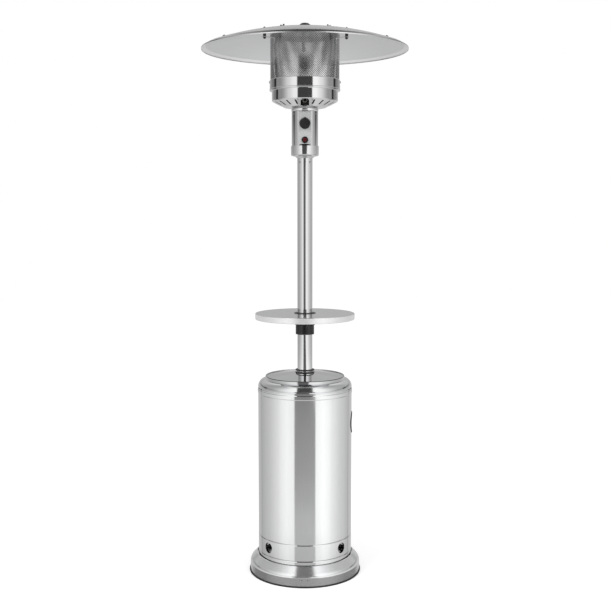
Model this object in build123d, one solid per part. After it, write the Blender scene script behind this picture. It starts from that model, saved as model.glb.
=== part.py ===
from build123d import *
import math
import os

os.makedirs("parts", exist_ok=True)

# Sizes are in millimetres. Z is up, the heater's front faces -Y, and the origin is on the floor
# under the base's centre. An azimuth is counted in degrees from the front towards +X.

# Driving sizes of the base
base_radius = 227.4
base_sheet = 1.2
trim_height = 3.0
trim_overhang = 1.5
lip_radius = 224.6
lip_top = 46.0
shoulder_round = 14.0
crest_radius = 197.5
crest_height = 77.0
deck_radius = 195.5
deck_height = 70.0
bottle_seat_radius = 144.0
lip_slot_height = 32.0
lip_slot_spacing = 26.0
lip_slot_length = 11.0
lip_slot_width = 5.0

# Driving sizes of the bottle housing
housing_radius = 191.0
housing_sheet = 1.2
housing_inside = housing_radius - housing_sheet
front_half_angle = 65.0
door_gap_angle = 0.4
housing_top = 763.4
door_bottom = 78.5
door_top = 762.6
bead_heights = (92.5, 158.5)
bead_depth = 1.4
bead_half_width = 2.5
band_low = 740.5
band_high = 759.5
band_rise = 1.8
vent_azimuths = (50.0, -50.0, 130.0, -130.0)
vent_height = 127.0
vent_radius = 22.5
vent_collar = 8.0
hand_hole_azimuth = 90.0
hand_hole_height = 617.0
hand_hole_radius = 41.0
cap_round = 35.0
cap_arc_angle = 60.0
cap_rim_radius = 164.5
cap_rim_height = 812.0
plate_seat_radius = 161.0
plate_seat_height = 808.5
plate_centre_height = 815.5

# Driving sizes of the post and what carries it
bracket_azimuths = (25.0, 170.0, -90.0)
bracket_width = 30.0
bracket_sheet = 3.0
bracket_radius = 183.0
bracket_bend = 14.0
bracket_foot_bolt_radius = 164.0
flange_height = 753.0
flange_thickness = 4.0
flange_radius = 75.0
flange_bolt_radius = 60.0
pole_radius = 30.5
pole_wall = 1.5
pole_bottom = flange_height + flange_thickness
pole_top = 1706.0
running_gap = 0.05

# Driving sizes of the table
table_radius = 211.5
table_height = 1063.0
table_skirt = 19.5
table_sheet = 1.2
table_seat_radius = 47.0
sleeve_bottom = 1018.0
lock_collar_bottom = 980.0

# Driving sizes of the head
collar_radius = 55.5
collar_bottom = 1687.0
collar_top = 1735.0
collar_sheet = 1.2
spigot_step = 1709.0
box_radius = 52.5
box_sheet = 1.0
box_top = 1870.0
panel_width = 49.0
panel_bottom = 1738.0
panel_arch = 3.5
box_seam_azimuth = 52.0
knob_height = 1821.0
knob_travel = 3.0
igniter_height = 1757.0
igniter_travel = 4.0
neck_top = 1886.8
neck_bulge = 1.4
pan_radius = 131.0
pan_floor_radius = 82.0
pan_sheet = 1.0
pan_corner = 1911.0
pan_flange_height = 1951.0
slot_count = 20
band_radius = 139.5
band_top = 1993.0
screen_radius = 137.0
screen_wall = 0.8
screen_top = 2176.0

# Driving sizes of the reflector
dome_sphere_radius = 1175.0
dome_apex = 2190.0
dome_edge_radius = 392.0
rim_radius = 409.0
rim_height = 2113.6
dome_sheet = 0.8
dome_hole_radius = 20.0
seam_azimuths = (60.0, 180.0, 300.0)
lap_width = 14.0
seam_bolt_offset = 6.0
stud_radius_on_dome = 105.0
standoff_radius_on_dome = 183.0
seam_bolt_radius_on_dome = 355.0
arm_height = 2148.0
arm_thickness = 2.0

dome_centre_height = dome_apex - dome_sphere_radius
front_chord = math.sqrt((box_radius - box_sheet) ** 2 - (panel_width / 2) ** 2)
panel_face = front_chord


# Helpers

def around(part, azimuth):
    """Turn a piece that is drawn at the front, on the -Y side, to an azimuth."""
    return Rot(0, 0, azimuth) * part


def spun(face, start=0.0, sweep=360.0):
    """Revolve a face drawn in radius and height, from one azimuth through a sweep."""
    solid = revolve(Plane.XZ * face, axis=Axis.Z, revolution_arc=sweep)
    return Rot(0, 0, start - 90) * solid


def sheet(line, thickness, side=Side.LEFT):
    """The cut face of sheet metal that lies on one side of a line."""
    outline = Wire(line.edges()).offset_2d(thickness, kind=Kind.INTERSECTION, side=side, closed=True)
    return Face(outline)


def outline(*points):
    """A face with straight sides, in radius and height."""
    return make_face(Polyline(*points, close=True))


def rod(radius, low, high):
    """A round bar along Z."""
    return Pos(0, 0, low) * Cylinder(radius, high - low, align=(Align.CENTER, Align.CENTER, Align.MIN))


def tube(outer, inner, low, high):
    """A round tube along Z."""
    return rod(outer, low, high) - rod(inner, low, high)


def front_rod(radius, height, near, far):
    """A round bar along Y at one height, from y = -near to y = -far."""
    place = Plane((0, -near, height), x_dir=(1, 0, 0), z_dir=(0, -1, 0))
    return extrude(place * Circle(radius), amount=far - near)


def block(x_size, y_low, y_high, z_low, z_high):
    """A rectangular block, centred on x."""
    size_y = y_high - y_low
    size_z = z_high - z_low
    return Pos(0, (y_low + y_high) / 2, (z_low + z_high) / 2) * Box(x_size, size_y, size_z)


def side_plane():
    """The upright plane through the front, with radius along its x and height along its y."""
    return Plane((0, 0, 0), x_dir=(0, -1, 0), z_dir=(-1, 0, 0))


def hexagon(across_flats, low, high):
    """A hexagonal bar along Z."""
    flat = Pos(0, 0, low) * RegularPolygon(across_flats / 2, side_count=6, major_radius=False)
    return extrude(flat, amount=high - low)


def bolt_and_nut(shank_radius, grip, across_flats, head, nut):
    """A hexagon bolt hanging from z = 0 through a grip, and its nut below, as two solids."""
    tail = shank_radius
    bolt = hexagon(across_flats, 0, head) + rod(shank_radius, -(grip + nut + tail), 0)
    nut_solid = hexagon(across_flats, -(grip + nut), -grip) - rod(shank_radius, -(grip + nut), -grip)
    return [bolt, nut_solid]


def ring_of(parts, azimuths):
    """Copies of the same pieces at several azimuths."""
    return [around(part, azimuth) for azimuth in azimuths for part in parts]


def pressed_groove(radius, height):
    """Cutter for the fine ring that is pressed into a flat sheet round a seat."""
    return spun(outline((radius - 1, height), (radius, height - 0.5), (radius + 1, height)))


def group(parts):
    """Separate solids that share one node."""
    solids = []
    for part in parts:
        solids.extend(part.solids())
    return Compound(solids)


def save(name, shape):
    export_step(shape, f"parts/{name}.step")


# Base

def base_edge_trim():
    """Black channel that the bell's lower edge stands in."""
    seat = 222.0
    top = trim_height + 1.5
    edge = base_radius + trim_overhang
    return spun(outline((seat, 0), (edge - 0.5, 0), (edge, 1.2), (edge - 0.3, top),
                        (base_radius, top), (base_radius, trim_height), (seat, trim_height)))


def bracket_foot_holes(radius, low, high):
    return ring_of([Pos(0, -bracket_foot_bolt_radius, 0) * rod(radius, low, high)], bracket_azimuths)


def base_cover():
    """Spun bell: leaning lip, small round, slope, crest and the deck that the bottle stands on."""
    lip = Polyline((base_radius, trim_height), (base_radius, trim_height + 2), (225.0, 40.0),
                   (lip_radius, lip_top))
    shoulder = CenterArc((lip_radius - shoulder_round, lip_top), shoulder_round, 0, 45)
    top = Polyline(shoulder @ 1, (crest_radius + 1.5, crest_height - 1), (crest_radius - 1, crest_height),
                   (deck_radius, deck_height), (0, deck_height))
    bell = spun(sheet(lip + shoulder + top, base_sheet))
    for side in (-1, 1):
        place = Plane((side * lip_slot_spacing / 2, -base_radius - 5, lip_slot_height),
                      x_dir=(1, 0, 0), z_dir=(0, 1, 0))
        bell -= extrude(place * SlotOverall(lip_slot_length, lip_slot_width), amount=20)
    for hole in bracket_foot_holes(3.3, deck_height - 10, deck_height + 1):
        bell -= hole
    return bell - pressed_groove(bottle_seat_radius, deck_height)


# Post brackets, flange and pole

def post_brackets():
    """Three straps: foot on the deck, tall leg past the bottle, and an arm in to the flange."""
    path = FilletPolyline((148, deck_height), (bracket_radius, deck_height),
                          (bracket_radius, flange_height), (46, flange_height), radius=bracket_bend)
    strap = extrude(side_plane() * sheet(path, bracket_sheet), amount=bracket_width / 2, both=True)
    strap -= Pos(0, -bracket_foot_bolt_radius, 0) * rod(3.3, deck_height - 1, deck_height + 5)
    strap -= Pos(0, -flange_bolt_radius, 0) * rod(3.3, flange_height - 5, flange_height + 1)
    return group(ring_of([strap], bracket_azimuths))


def bracket_bolts():
    grip = bracket_sheet + base_sheet
    parts = bolt_and_nut(3.0, grip, 10.0, 4.0, 5.0)
    top = deck_height + bracket_sheet
    placed = [Pos(0, -bracket_foot_bolt_radius, top) * part for part in parts]
    return group(ring_of(placed, bracket_azimuths))


def pole_foot_flange():
    """Plate with a socket that the pole stands in. The gas hose passes through its middle."""
    plate = tube(flange_radius, 20.0, flange_height, pole_bottom)
    socket = tube(pole_radius + 3.5, pole_radius, pole_bottom, pole_bottom + 34)
    flange = plate + socket
    for hole in ring_of([Pos(0, -flange_bolt_radius, 0) * rod(3.3, 750, 760)], bracket_azimuths):
        flange -= hole
    return flange


def flange_bolts():
    parts = bolt_and_nut(3.0, flange_thickness + bracket_sheet, 10.0, 4.0, 5.0)
    placed = [Pos(0, -flange_bolt_radius, pole_bottom) * part for part in parts]
    return group(ring_of(placed, bracket_azimuths))


pole_screw_azimuths = (43.5, -43.5, 136.5, -136.5)
pole_screw_height = 1671.0
pole_screw_radius = 2.5


def pole_screw_holes(radius):
    return ring_of([front_rod(radius, pole_screw_height, 20, 40)], pole_screw_azimuths)


def pole():
    body = tube(pole_radius, pole_radius - pole_wall, pole_bottom, pole_top)
    for hole in pole_screw_holes(pole_screw_radius):
        body -= hole
    return body


def head_spigot():
    """Tube of the head that plugs into the pole, with the stepped disc that the head stands on."""
    outer = pole_radius - pole_wall
    inner = outer - 2.0
    body = tube(outer, inner, 1640.0, pole_top)
    body += tube(collar_radius - collar_sheet, inner, pole_top, spigot_step)
    body += tube(box_radius - 2 * box_sheet, inner, spigot_step, spigot_step + 6)
    for hole in pole_screw_holes(pole_screw_radius):
        body -= hole
    return body


def pole_screws():
    """Pan-head screws through the pole into the spigot."""
    inner = pole_radius - pole_wall - 3.5
    shank = front_rod(pole_screw_radius, pole_screw_height, inner, pole_radius + 0.5)
    head = front_rod(5.5, pole_screw_height, pole_radius - 0.5, pole_radius + 2.6)
    head = chamfer(head.edges().sort_by(Axis.Y)[0], 1.0)
    screw = head - rod(pole_radius, pole_screw_height - 10, pole_screw_height + 10) + shank
    return group(ring_of([screw], pole_screw_azimuths))


# Bottle housing

def shell_face(bottom, top):
    """Section of the housing sheet: two pressed beads low down and a raised band near the top."""
    points = [(housing_radius, bottom)]
    for height in bead_heights:
        points.append((housing_radius, height - bead_half_width))
        points.append((housing_radius - bead_depth, height))
        points.append((housing_radius, height + bead_half_width))
    points.append((housing_radius, band_low))
    points.append((housing_radius + band_rise, band_low + 3))
    points.append((housing_radius + band_rise, band_high - 3))
    points.append((housing_radius, band_high))
    points.append((housing_radius, top))
    return sheet(Polyline(*points), housing_sheet)


def add_vents(shell, azimuths):
    """Round vents with a collar that is drawn inwards."""
    inner = vent_radius - housing_sheet
    collar = front_rod(vent_radius, vent_height, housing_inside - vent_collar, housing_radius + 2)
    collar -= front_rod(inner, vent_height, housing_inside - vent_collar - 1, housing_radius + 3)
    collar &= rod(housing_radius, vent_height - 40, vent_height + 40)
    hole = front_rod(vent_radius, vent_height, housing_inside - 20, housing_radius + 10)
    for part in ring_of([hole], azimuths):
        shell -= part
    for part in ring_of([collar], azimuths):
        shell += part
    return shell


def housing_front():
    shell = spun(shell_face(deck_height, housing_top), -front_half_angle, 2 * front_half_angle)
    return add_vents(shell, vent_azimuths[:2])


def housing_door():
    """Rear door, more than a half turn wide, with the hand hole beside its free edge."""
    start = front_half_angle + door_gap_angle
    shell = spun(shell_face(door_bottom, door_top), start, 360 - 2 * start)
    shell = add_vents(shell, vent_azimuths[2:])
    hole = front_rod(hand_hole_radius, hand_hole_height, housing_inside - 20, housing_radius + 10)
    return shell - around(hole, hand_hole_azimuth)


def door_grip_ring():
    """Black edging of the hand hole, which follows the curve of the door."""
    low = hand_hole_height - 60
    high = hand_hole_height + 60
    lip = 3.0
    cover = 2.5
    ring = front_rod(hand_hole_radius + lip, hand_hole_height, 150, 210)
    ring -= front_rod(hand_hole_radius - lip, hand_hole_height, 149, 211)
    ring &= tube(housing_radius + cover, housing_inside - cover, low, high)
    door_metal = tube(housing_radius, housing_inside, low, high)
    door_metal -= front_rod(hand_hole_radius, hand_hole_height, 150, 210)
    return around(ring - door_metal, hand_hole_azimuth)


def housing_cap():
    """Shoulder of the housing, with a rolled rim and a seat for the top plate."""
    wall = Polyline((housing_radius, housing_top), (housing_radius, housing_top + 1.6))
    round_centre = (housing_radius - cap_round, housing_top + 1.6)
    shoulder = CenterArc(round_centre, cap_round, 0, cap_arc_angle)
    rim = Polyline(shoulder @ 1, (cap_rim_radius, cap_rim_height), (cap_rim_radius - 2, cap_rim_height + 1.2),
                   (plate_seat_radius, cap_rim_height), (plate_seat_radius, plate_seat_height),
                   (plate_seat_radius - 11, plate_seat_height))
    cap = spun(sheet(wall + shoulder + rim, housing_sheet))
    spigot_face = outline((housing_inside - 0.4, 748), (housing_inside - 0.4, 764.4),
                          (housing_inside + 0.6, 764.4), (housing_inside + 0.6, 766),
                          (housing_inside - 2, 766), (housing_inside - 2, 748))
    spigot_half_angle = front_half_angle - 5
    return cap + spun(spigot_face, -spigot_half_angle, 2 * spigot_half_angle)


def housing_top_plate():
    """Very shallow cone that reaches up to the pole."""
    line = Polyline((plate_seat_radius - 0.4, plate_seat_height + 1), (48, plate_centre_height),
                    (pole_radius + 0.5, plate_centre_height))
    return spun(sheet(line, 1.0))


def pole_ring():
    """Black grommet round the pole, with a foot and a flared lip."""
    low = plate_centre_height
    bore = pole_radius + 0.1
    return spun(outline((bore, low), (42, low), (42, low + 3), (37, low + 6.5), (36.5, low + 14),
                        (40.5, low + 18.5), (39.5, low + 20.5), (bore, low + 20.5)))


# Door pivots and catch

pivot_azimuth = -72.0
pivot_radius = 180.0
pivot_pin_radius = 3.0
lower_lug_height = 80.0
upper_lug_height = 760.0
lug_thickness = 2.0
upper_plate_height = 763.0


def at_pivot(part):
    """Move a piece drawn on the Z axis to the door's pivot line."""
    return around(Pos(0, -pivot_radius, 0) * part, pivot_azimuth)


def wall_plate(height, thickness, width):
    """Plate from the pivot out to the housing's inner face, rounded about the pivot."""
    plate = block(width, -housing_radius, -pivot_radius, height, height + thickness)
    plate += Pos(0, -pivot_radius, 0) * rod(width / 2, height, height + thickness)
    return plate & rod(housing_inside, height - 1, height + thickness + 1)


def door_pivot_brackets():
    """Foot plate on the deck and plate under the cap, which hold the pins."""
    foot = at_pivot(tube(9.0, pivot_pin_radius, deck_height, deck_height + 2))
    upper = wall_plate(upper_plate_height, 2.0, 18.0)
    upper -= Pos(0, -pivot_radius, 0) * rod(pivot_pin_radius, 700, 800)
    return group([foot, around(upper, pivot_azimuth)])


def door_pivot_lugs():
    """Plates on the door's inner face that turn about the pins."""
    lugs = []
    for height in (lower_lug_height, upper_lug_height):
        lug = wall_plate(height, lug_thickness, 16.0)
        lug -= Pos(0, -pivot_radius, 0) * rod(pivot_pin_radius + running_gap, height - 1, height + 5)
        lugs.append(around(lug, pivot_azimuth))
    return group(lugs)


def door_pivot_pins():
    lower = rod(pivot_pin_radius, deck_height, lower_lug_height + 5)
    shoulder = tube(5.0, pivot_pin_radius, deck_height + 2, lower_lug_height - 0.3)
    upper = rod(pivot_pin_radius, upper_lug_height - 3, upper_plate_height + 2)
    return group([at_pivot(lower + shoulder), at_pivot(upper)])


catch_low = 690.0
catch_high = 730.0
catch_depth = 12.0


def door_magnet():
    """Magnetic catch on the front shell, just inside its right edge."""
    width = 12.0
    body = block(width, -housing_radius, -(housing_inside - catch_depth), catch_low, catch_high)
    body &= rod(housing_inside, catch_low - 1, catch_high + 1)
    half_angle = math.degrees(math.atan((width / 2) / (housing_inside - catch_depth)))
    return around(body, front_half_angle - half_angle)


def door_strike():
    """Steel plate on the door's free edge that the magnet holds."""
    width = 1.5
    body = block(width, -housing_radius, -(housing_inside - catch_depth), catch_low, catch_high)
    body &= rod(housing_inside, catch_low - 1, catch_high + 1)
    half_angle = math.degrees(math.atan((width / 2) / (housing_inside - catch_depth)))
    return around(body, front_half_angle + door_gap_angle + half_angle)


# Table

def table_top():
    """Pressed round table with a turned-down skirt and a hem."""
    bottom = table_height - table_skirt
    line = FilletPolyline((table_radius - 6, bottom), (table_radius, bottom), (table_radius, table_height),
                          (34, table_height), radius=2.5)
    return spun(sheet(line, table_sheet)) - pressed_groove(table_seat_radius, table_height)


def table_ring():
    """Black ring on the table, whose neck screws into the sleeve below."""
    low = sleeve_bottom + 28
    return spun(outline((pole_radius + 0.5, low), (34.0, low), (34.0, table_height), (44.5, table_height),
                        (44.0, table_height + 3.5), (41.0, table_height + 5), (pole_radius + 0.5, table_height + 5)))


def table_sleeve():
    """Black hub under the table, with ribs from its barrel to its flange."""
    under = table_height - table_sheet
    bore_step = sleeve_bottom + 28
    hub = spun(outline((33.2, sleeve_bottom), (40.5, sleeve_bottom), (41, sleeve_bottom + 2), (41, under - 5),
                       (60, under - 5), (60, under), (34, under), (34, bore_step), (33.2, bore_step)))
    rib = extrude(side_plane() * make_face(Polyline((40.5, under - 24), (58, under - 5), (40.5, under - 5),
                                                    close=True)), amount=1.5, both=True)
    for part in ring_of([rib], range(30, 360, 60)):
        hub += part
    return hub


def table_clamp_bush():
    """Split bush that grips the pole when the lock collar closes it."""
    low = lock_collar_bottom + 3
    bush = tube(33.2, pole_radius + running_gap, low, sleeve_bottom + 27)
    return bush - block(3, 20, 40, low - 1, sleeve_bottom + 28)


def table_lock_collar():
    """Lobed black collar with a castellated lower edge."""
    top = sleeve_bottom - 0.5
    collar = tube(37.5, 33.25, lock_collar_bottom, top)
    lobe = Pos(0, -40, 0) * rod(4.2, lock_collar_bottom - 1, top - 6)
    for part in ring_of([lobe], range(15, 360, 30)):
        collar -= part
    notch = block(7, -40, -30, lock_collar_bottom - 1, lock_collar_bottom + 6)
    for part in ring_of([notch], range(0, 360, 60)):
        collar -= part
    return collar


# Head: collar and control box

def head_collar():
    """Polished collar that flares out from the pole and holds the foot of the box."""
    low = collar_bottom
    line = FilletPolyline((pole_radius, low), (34.0, low + 2), (39.0, low + 6.5), (collar_radius, low + 10),
                          (collar_radius, collar_top), radius=6)
    return spun(sheet(line, collar_sheet)) - rod(pole_radius, low - 1, low + 10)


def box_ring(outer, low, high, start, sweep):
    face = outline((outer, low), (outer, high), (outer - box_sheet, high), (outer - box_sheet, low))
    return spun(face, start, sweep)


def control_box_front():
    """Front of the control box: curved cheeks and the flat panel, whose lower edge is arched."""
    outer = box_radius - box_sheet
    inner_chord = front_chord - box_sheet
    cheek_end = box_seam_azimuth + 5
    shell = box_ring(outer, spigot_step, box_top, -cheek_end, 2 * cheek_end)
    shell -= block(panel_width + 20, -outer - 5, -front_chord, spigot_step - 1, box_top + 1)
    shell -= block(panel_width - 4, -outer - 5, -30, spigot_step - 1, panel_bottom)
    half_inner = math.sqrt((outer - box_sheet) ** 2 - inner_chord ** 2)
    panel = block(2 * half_inner + 0.5, -front_chord, -inner_chord, panel_bottom, box_top)
    arch_radius = (panel_width ** 2 / 4 + panel_arch ** 2) / (2 * panel_arch)
    panel -= front_rod(arch_radius, panel_bottom + panel_arch - arch_radius, 30, 60)
    shell += panel & rod(outer, panel_bottom, box_top)
    shell -= front_rod(8.0, knob_height, 30, 60)
    shell -= front_rod(9.0, igniter_height, 30, 60)
    return shell


def control_box_back():
    """Rear cover of the control box, which laps over the front's cheeks."""
    return box_ring(box_radius, spigot_step, box_top, box_seam_azimuth, 360 - 2 * box_seam_azimuth)


box_screw_azimuths = (box_seam_azimuth + 2.5, -box_seam_azimuth - 2.5)


def control_box_screws():
    """Small screws through the lap of the two halves."""
    screws = []
    for height in (collar_top + 14, box_top - 10):
        head = front_rod(2.6, height, box_radius - 1, box_radius + 1.3)
        head -= rod(box_radius, height - 5, height + 5)
        screws.extend(ring_of([head], box_screw_azimuths))
    return group(screws)


def neck_ring():
    """Barrelled polished ring on the box, whose top carries the burner."""
    foot = box_top + 1
    shoulder = neck_top - 2.5
    wall = Polyline((box_radius, box_top), (box_radius, foot))
    barrel = SagittaArc((box_radius, foot), (box_radius, shoulder), -neck_bulge)
    top = FilletPolyline((box_radius, shoulder), (box_radius, neck_top), (9, neck_top), radius=2)
    return spun(sheet(wall + barrel + top, 1.2))


# Gas controls

def gas_knob():
    """Black knob: a skirt with a pointer at the top, and a fluted grip."""
    back = panel_face + knob_travel + 0.5
    skirt_depth = 6.0
    depth = 21.0
    skirt = front_rod(21.5, knob_height, back, back + skirt_depth)
    grip = front_rod(19.0, knob_height, back + skirt_depth, back + depth)
    grip = chamfer(grip.edges().sort_by(Axis.Y)[0], 2.0)
    flute = Pos(0, 0, knob_height + 20.3) * front_rod(2.2, 0, back + skirt_depth, back + depth + 1)
    for step in range(12):
        turn = Pos(0, 0, knob_height) * Rot(0, 15 + 30 * step, 0) * Pos(0, 0, -knob_height)
        grip -= turn * flute
    place = Plane((0, -back, knob_height), x_dir=(1, 0, 0), z_dir=(0, -1, 0))
    pointer_face = make_face(Polyline((-9, 18), (0, 25.5), (9, 18), close=True))
    pointer = extrude(place * pointer_face, amount=skirt_depth)
    mark = extrude(place.offset(depth) * Pos(0, 11) * Rectangle(2.4, 12), amount=-1)
    knob = skirt + pointer + grip - mark
    return knob - front_rod(stem_radius + running_gap, knob_height, back - 1, back + 15)


stem_radius = 3.0
stem_front = 60.0


def valve_stem():
    return front_rod(stem_radius, knob_height, 30, stem_front)


def gas_valve():
    """Valve body behind the panel, with inlet, outlet and pilot bosses."""
    body = block(30, -32, -4, knob_height - 18, knob_height + 18)
    body = fillet(body.edges().filter_by(Axis.Y), 4)
    body += front_rod(12, knob_height, 30, panel_face - box_sheet)
    body += Pos(0, -16, 0) * hexagon(17, knob_height - 26, knob_height - 17)
    body += Pos(0, -16, 0) * hexagon(15, knob_height + 17, knob_height + 25)
    pilot_boss = extrude(Plane((14, -16, knob_height + 6), x_dir=(0, 1, 0), z_dir=(1, 0, 0)) * Circle(4.5), amount=9)
    body += pilot_boss
    return body - front_rod(stem_radius + running_gap, knob_height, 29, 60)


def gas_inlet_fitting():
    """Brass flare fitting under the valve, where the gas hose screws on."""
    top = knob_height - 26
    fitting = hexagon(17, top - 9, top) + rod(6.5, top - 26, top - 9)
    return Pos(0, -16, 0) * (fitting - rod(3.0, top - 27, top + 1))


def burner_supply_tube():
    """Tube from the valve to the jet in the mixer's foot."""
    low = knob_height + 25
    path = Polyline((0, -16, low), (0, -16, low + 10), (0, 0, low + 26), (0, 0, neck_top + 8))
    route = fillet(path.vertices().sort_by(Axis.Z)[1:3], 12)
    start = Plane((0, -16, low), z_dir=(0, 0, 1))
    pipe = sweep(start * Circle(4.0), path=Wire(route.edges()))
    return pipe + rod(6.0, neck_top + 2, neck_top + 10)


def igniter_body():
    """Piezo igniter behind the panel, with the neck that the bezel screws on."""
    back = 8.0
    body = front_rod(11.0, igniter_height, back, panel_face - box_sheet)
    body += front_rod(9.0, igniter_height, panel_face - box_sheet - 1, panel_face + 4)
    return body - front_rod(7.8, igniter_height, 28, panel_face + 5)


def igniter_bezel():
    ring = front_rod(13.0, igniter_height, panel_face, panel_face + 5)
    ring = chamfer(ring.edges().sort_by(Axis.Y)[0], 1.5)
    return ring - front_rod(9.0, igniter_height, panel_face - 1, panel_face + 6)


def igniter_button():
    """Red button that travels into the bezel."""
    front = panel_face + 8.5
    button = front_rod(7.5, igniter_height, panel_face - 10, front)
    return fillet(button.edges().sort_by(Axis.Y)[0], 1.2)


def tilt_switch():
    """Sealed switch on the rear cover that shuts the gas off if the heater leans."""
    body = block(20, 28, 60, 1790, 1820)
    return body & rod(box_radius - box_sheet, 1780, 1830)


# Burner

drum_bottom = 1940.0
drum_top = 1964.0
drum_radius = 110.0


def burner_mixer():
    """Upright mixer tube with air windows, on a foot flange."""
    low = neck_top + pan_sheet
    body = tube(16.0, 14.5, low, drum_bottom) + tube(26.0, 14.5, low, low + 2)
    window = block(10, -20, 0, low + 14, low + 30)
    for part in ring_of([window], (0, 90, 180, 270)):
        body -= part
    return body


def burner_head():
    """Shallow drum that the mixture fills, with a ring of flame ports in its top."""
    line = Polyline((14.5, drum_bottom), (40, drum_bottom), (drum_radius - 3, drum_bottom + 8),
                    (drum_radius, drum_bottom + 11), (drum_radius, drum_top), (0, drum_top))
    drum = spun(sheet(line, 1.2, Side.RIGHT))
    port = Pos(0, -88, 0) * rod(3.2, drum_top - 5, drum_top + 5)
    for part in ring_of([port], range(0, 360, 20)):
        drum -= part
    return drum


pilot_depth = 116.0
pilot_probe_offset = 12.8


def pilot_burner():
    """Bent strip on the drum, seen through the pan's front port, with a shelf for two probes."""
    near = drum_radius - 2
    far = pilot_depth + 6
    shelf_height = 1932.0
    legs = FilletPolyline((-8, drum_top - 2), (-8, 1896), (8, 1896), (8, drum_top - 2), radius=6)
    place = Plane((0, -near, 0), x_dir=(1, 0, 0), z_dir=(0, -1, 0))
    body = extrude(place * sheet(legs, 1.6), amount=far - near)
    body += block(35, -far, -near, shelf_height, shelf_height + 1.6)
    for side in (-1, 1):
        body -= Pos(side * pilot_probe_offset, -pilot_depth, 0) * rod(2.2, shelf_height - 1, shelf_height + 3)
    return body - rod(drum_radius, drum_bottom, drum_top)


def thermocouple():
    return Pos(pilot_probe_offset, -pilot_depth, 0) * rod(2.2, 1905, 1978)


def spark_electrode():
    return Pos(-pilot_probe_offset, -pilot_depth, 0) * (rod(2.2, 1905, 1945) + rod(1.0, 1945, 1976))


def burner_pan():
    """Spun pan: flat floor, slotted cone with a front port, upright band and a top flange."""
    line = Polyline((18, neck_top), (pan_floor_radius, neck_top), (pan_radius - 2.5, pan_corner - 1.3),
                    (pan_radius, pan_corner + 1.5), (pan_radius, pan_flange_height),
                    (band_radius - 0.5, pan_flange_height))
    pan = spun(sheet(line, pan_sheet))
    low = neck_top - 2
    tall = pan_corner - low
    slot = Pos(0, -107, low) * extrude(Rot(0, 0, 90) * SlotOverall(31, 7), amount=tall)
    for step in range(1, slot_count):
        pan -= around(slot, step * 360 / slot_count)
    port_face = Pos(0, -99, low) * RectangleRounded(33, 50, 8)
    return pan - extrude(port_face, amount=tall)


def screen_band():
    """Upper band with a bead at its foot and an inward lip at its top."""
    low = pan_flange_height + pan_sheet
    line = Polyline((pan_radius, low), (band_radius, low), (band_radius + 1.3, low + 1.5),
                    (band_radius + 1.3, low + 4), (band_radius, low + 6), (band_radius, band_top - 1.5),
                    (band_radius - 1.2, band_top))
    return spun(sheet(line, 1.0))


def band_screws():
    head = front_rod(4.2, band_top - 7, band_radius - 0.5, band_radius + 3)
    head = chamfer(head.edges().sort_by(Axis.Y)[0], 0.8)
    head -= rod(band_radius, band_top - 20, band_top)
    return group(ring_of([head], (90, -90)))


def emitter_screen():
    low = pan_flange_height + pan_sheet + 1.0
    return tube(screen_radius, screen_radius - screen_wall, low, screen_top)


def emitter_top_plate():
    """Lid of the screen, with a turned-down rim."""
    high = screen_top + 1.0
    line = Polyline((screen_radius + 1.3, high - 13), (screen_radius + 1.3, high), (0, high))
    return spun(sheet(line, 1.0))


# Reflector

def dome_height(radius):
    """Height of the dome's upper face at a radius."""
    return dome_centre_height + math.sqrt(dome_sphere_radius ** 2 - radius ** 2)


def dome_line(inner):
    """Outline of the reflector's upper face: dome, flatter lip and a short hem."""
    start = (inner, dome_height(inner))
    edge = (dome_edge_radius, dome_height(dome_edge_radius))
    curve = RadiusArc(start, edge, dome_sphere_radius)
    return curve + Polyline(edge, (rim_radius, rim_height), (rim_radius, rim_height - 4))


def on_seam(part, azimuth, radius):
    """Turn a piece drawn at the front at some radius onto the lap beside a seam."""
    return around(part, azimuth + math.degrees(math.asin(seam_bolt_offset / radius)))


def on_dome(part, radius):
    """Stand a piece, drawn on z = 0, square on the dome at a radius in front."""
    lean = math.degrees(math.asin(radius / dome_sphere_radius))
    return Pos(0, 0, dome_centre_height) * Rot(lean, 0, 0) * Pos(0, 0, dome_sphere_radius) * part


def seam_holes():
    holes = []
    for azimuth in seam_azimuths:
        for radius, drill in ((stud_radius_on_dome, 2.8), (standoff_radius_on_dome, 3.3)):
            hole = Pos(0, -radius, 0) * rod(drill, rim_height, dome_apex + 20)
            holes.append(on_seam(hole, azimuth, radius))
        hole = on_dome(rod(2.8, -15, 15), seam_bolt_radius_on_dome)
        holes.append(on_seam(hole, azimuth, seam_bolt_radius_on_dome))
    return holes


def reflector_panel(middle_azimuth):
    """One third of the dome. Its far edge carries a lap that lies on its neighbour."""
    seam_gap_angle = 0.05
    sweep_angle = 120 - 2 * seam_gap_angle
    own_sheet = sheet(dome_line(dome_hole_radius), dome_sheet, Side.RIGHT)
    panel = spun(own_sheet, middle_azimuth - sweep_angle / 2, sweep_angle)
    lap = spun(sheet(dome_line(dome_hole_radius + 8), dome_sheet, Side.LEFT), -8, 40)
    lap_area = block(lap_width + 3, -rim_radius - 5, -dome_hole_radius - 8, rim_height - 10, dome_apex + 10)
    lap &= Pos((lap_width - 3) / 2, 0, 0) * lap_area
    panel += around(lap, middle_azimuth + 60)
    for hole in seam_holes():
        panel -= hole
    return panel


def reflector_seam_bolts():
    grip = 2 * dome_sheet + 0.02
    radius = seam_bolt_radius_on_dome
    parts = [on_dome(Pos(0, 0, dome_sheet) * part, radius) for part in bolt_and_nut(2.5, grip, 8.0, 3.0, 4.0)]
    return group([on_seam(part, azimuth, radius) for azimuth in seam_azimuths for part in parts])


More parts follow.
